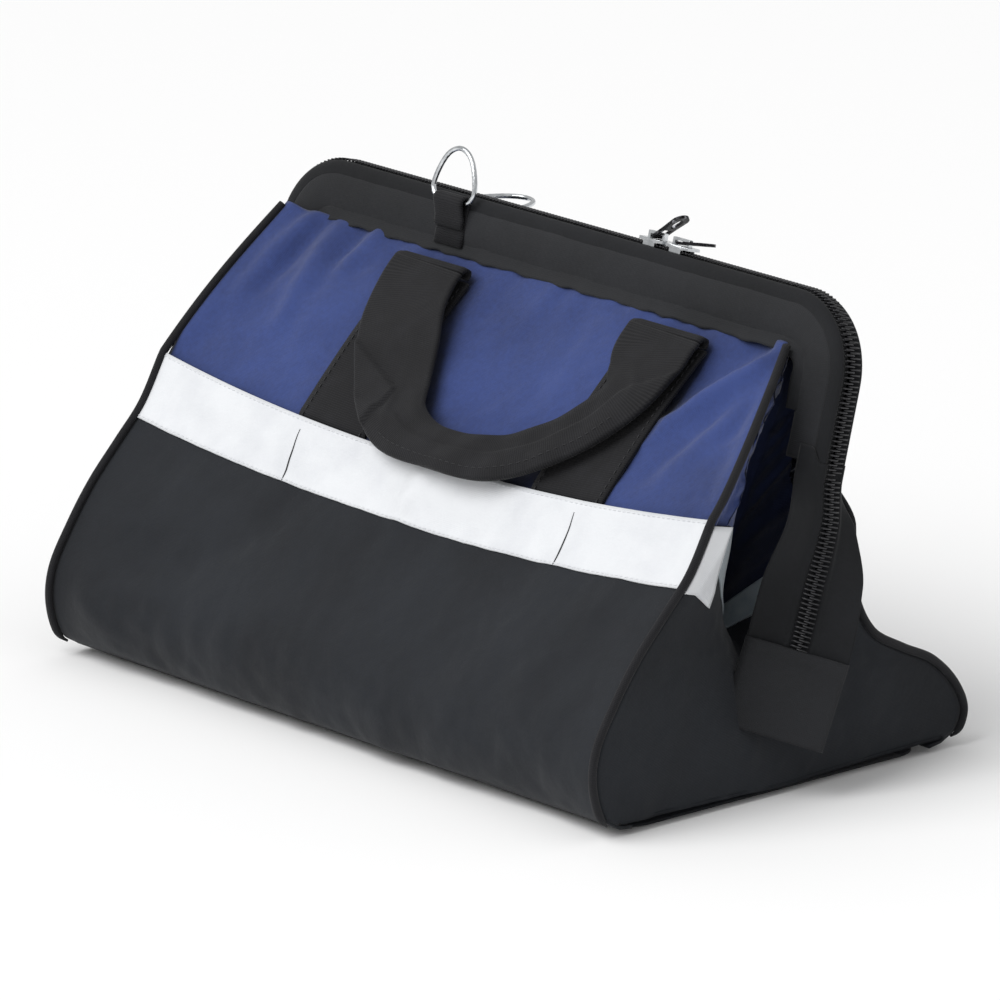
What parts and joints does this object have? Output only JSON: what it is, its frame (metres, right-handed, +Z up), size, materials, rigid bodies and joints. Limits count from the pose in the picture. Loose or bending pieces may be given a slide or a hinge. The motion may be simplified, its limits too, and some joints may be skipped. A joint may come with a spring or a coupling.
{
  "type": "zippered tool bag",
  "caption": "Soft open-mouth tool bag with a hinged steel mouth frame under a long zip, outside pocket bands, webbing handles and strap rings.",
  "frame": {"origin": "middle of the base, on the ground", "axes": "+X along the bag, -Y towards the front pocket side, +Z up"},
  "size_m": [0.469, 0.242, 0.2569],
  "materials": {
    "black_cloth": "woven polyester, matt",
    "blue_cloth": "woven polyester, slight sheen",
    "reflective_tape": "silver reflective ribbon",
    "grey_tape": "reflective ribbon seen from the side",
    "webbing": "ribbed woven webbing",
    "board": "rough sheet",
    "steel": "plated wire and strip",
    "black_metal": "black lacquer",
    "coil": "moulded nylon"
  },
  "bodies": {
    "bag": {"base_panel": "black_cloth", "base_board": "board", "front_body_panel": "blue_cloth", "front_pocket_panel": "black_cloth", "front_reflective_tape": "reflective_tape", "back_body_panel": "blue_cloth", "back_pocket_panel": "black_cloth", "back_reflective_tape": "reflective_tape", "left_gusset_panel": "blue_cloth", "left_gusset_pocket": "black_cloth", "left_gusset_tape": "grey_tape", "left_hinge_pin": "steel", "right_gusset_panel": "blue_cloth", "right_gusset_pocket": "black_cloth", "right_gusset_tape": "grey_tape", "right_hinge_pin": "steel", "front_left_binding": "webbing", "front_right_binding": "webbing", "back_left_binding": "webbing", "back_right_binding": "webbing"},
    "front_frame": {"front_frame_bar": "steel", "front_frame_sleeve": "black_cloth", "front_zip_tape": "black_cloth", "front_zip_coil": "coil", "front_ring_tab": "webbing"},
    "front_anchor": {"front_left_handle_fold": "webbing", "front_left_base_strap": "webbing", "front_right_handle_fold": "webbing", "front_right_base_strap": "webbing"},
    "front_handle_body": {"front_handle": "webbing"},
    "front_ring_body": {"front_d_ring": "steel"},
    "back_frame": {"back_frame_bar": "steel", "back_frame_sleeve": "black_cloth", "back_zip_tape": "black_cloth", "back_zip_coil": "coil", "back_ring_tab": "webbing"},
    "back_anchor": {"back_left_handle_fold": "webbing", "back_left_base_strap": "webbing", "back_right_handle_fold": "webbing", "back_right_base_strap": "webbing"},
    "back_handle_body": {"back_handle": "webbing"},
    "back_ring_body": {"back_d_ring": "steel"},
    "left_slider_body": {"left_slider": "steel"},
    "left_pull_body": {"left_pull": "black_metal"},
    "left_tail_body": {"left_tail_tape": "black_cloth", "left_tail_front_coil": "coil", "left_tail_back_coil": "coil", "left_tail_end_tab": "webbing"},
    "right_slider_body": {"right_slider": "steel"},
    "right_pull_body": {"right_pull": "black_metal"},
    "right_tail_body": {"right_tail_tape": "black_cloth", "right_tail_front_coil": "coil", "right_tail_back_coil": "coil", "right_tail_end_tab": "webbing"}
  },
  "joints": [
    {"name": "front_frame_hinge", "type": "hinge", "parent": "bag", "child": "front_frame", "pos_m": [0, 0.026, 0.146], "axis": [1, 0, 0], "range_deg": [0, 75], "deforming": ["front_body_panel", "front_left_binding", "front_right_binding", "left_gusset_panel", "right_gusset_panel"]},
    {"name": "back_frame_hinge", "type": "hinge", "parent": "bag", "child": "back_frame", "pos_m": [0, 0.026, 0.146], "axis": [1, 0, 0], "range_deg": [-75, 0], "deforming": ["back_body_panel", "back_left_binding", "back_right_binding", "left_gusset_panel", "right_gusset_panel"]},
    {"name": "front_anchor_turn", "type": "hinge", "parent": "front_frame", "child": "front_anchor", "pos_m": [0, 0.01775, 0.1998], "axis": [1, 0, 0], "range_deg": [-105, 0]},
    {"name": "back_anchor_turn", "type": "hinge", "parent": "back_frame", "child": "back_anchor", "pos_m": [0, 0.05489, 0.18882], "axis": [1, 0, 0], "range_deg": [0, 90]},
    {"name": "front_handle_swing", "type": "hinge", "parent": "front_anchor", "child": "front_handle_body", "pos_m": [0, 0.01775, 0.1998], "axis": [1, 0, 0], "range_deg": [-138, 0]},
    {"name": "back_handle_swing", "type": "hinge", "parent": "back_anchor", "child": "back_handle_body", "pos_m": [0, 0.05489, 0.18882], "axis": [-1, 0, 0], "range_deg": [-112, 0]},
    {"name": "front_ring_turn", "type": "hinge", "parent": "front_frame", "child": "front_ring_body", "pos_m": [0, 0.03512, 0.2304], "axis": [1, 0, 0], "range_deg": [-20, 160]},
    {"name": "back_ring_turn", "type": "hinge", "parent": "back_frame", "child": "back_ring_body", "pos_m": [0, 0.05894, 0.22424], "axis": [-1, 0, 0], "range_deg": [-95, 80]},
    {"name": "left_slider_run", "type": "slide", "parent": "front_frame", "child": "left_slider_body", "axis": [1, 0, 0], "range_m": [-0.21, 0]},
    {"name": "right_slider_run", "type": "slide", "parent": "front_frame", "child": "right_slider_body", "axis": [1, 0, 0], "range_m": [0, 0.078]},
    {"name": "left_pull_turn", "type": "hinge", "parent": "left_slider_body", "child": "left_pull_body", "pos_m": [0.0572, 0.04924, 0.23584], "axis": [0, 0.9681, -0.2504], "range_deg": [-134, 0]},
    {"name": "right_pull_turn", "type": "hinge", "parent": "right_slider_body", "child": "right_pull_body", "pos_m": [0.0748, 0.04924, 0.23584], "axis": [0, 0.9681, -0.2504], "range_deg": [-74, 0]},
    {"name": "left_tail_swing", "type": "hinge", "parent": "bag", "child": "left_tail_body", "pos_m": [-0.2076, 0.02738, 0.15132], "axis": [0, 0.9681, -0.2504], "range_deg": [0, 75]},
    {"name": "right_tail_swing", "type": "hinge", "parent": "bag", "child": "right_tail_body", "pos_m": [0.2076, 0.02738, 0.15132], "axis": [0, -0.9681, 0.2504], "range_deg": [0, 75]}
  ],
  "couplings": [
    {"joint": "back_frame_hinge", "follows": "front_frame_hinge", "ratio": -1},
    {"joint": "front_anchor_turn", "follows": "front_frame_hinge", "ratio": -1.4},
    {"joint": "back_anchor_turn", "follows": "front_frame_hinge", "ratio": 1.2}
  ]
}
